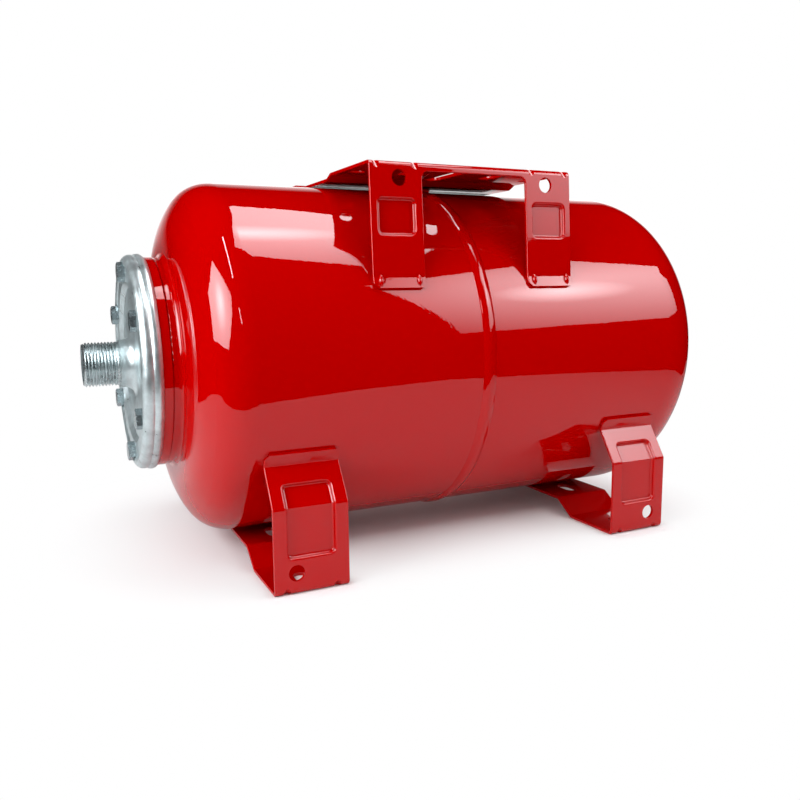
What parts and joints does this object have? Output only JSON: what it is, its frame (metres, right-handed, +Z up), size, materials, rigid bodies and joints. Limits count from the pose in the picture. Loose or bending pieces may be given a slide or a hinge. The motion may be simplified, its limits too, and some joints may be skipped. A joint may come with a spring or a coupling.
{
  "type": "bladder accumulator",
  "caption": "Horizontal steel bladder accumulator with dished ends, a threaded water nipple in a bolted counter flange, folded feet and a folded plate on top for a pump.",
  "frame": {"origin": "on the floor, midway between the four slots that take the floor bolts", "axes": "+Z up; +X along the tank axis, from the mouth with the water nipple towards the air valve; +Y across the tank, away from the camera of the picture"},
  "size_m": [0.544, 0.2776, 0.2926],
  "materials": {
    "red_paint": "gloss powder coat",
    "galvanised": "hot dip zinc",
    "zinc_bolt": "zinc plate",
    "bladder_rubber": "matte",
    "valve_brass": "plain",
    "black_plastic": "matte"
  },
  "bodies": {
    "root": {"front_shell": "red_paint", "rear_shell": "red_paint", "girth_weld": "red_paint", "mouth_ring": "red_paint", "counter_flange": "galvanised", "water_nipple": "galvanised", "bladder": "bladder_rubber", "front_foot": "red_paint", "rear_foot": "red_paint", "pump_bracket": "red_paint", "valve_stem": "valve_brass", "valve_gasket": "bladder_rubber", "valve_nut": "valve_brass", "valve_core": "valve_brass", "valve_cap": "valve_brass", "valve_cover": "black_plastic", "flange_bolt_1": "zinc_bolt", "flange_bolt_2": "zinc_bolt", "flange_bolt_3": "zinc_bolt", "flange_bolt_4": "zinc_bolt", "flange_bolt_5": "zinc_bolt", "flange_bolt_6": "zinc_bolt"}
  },
  "joints": []
}
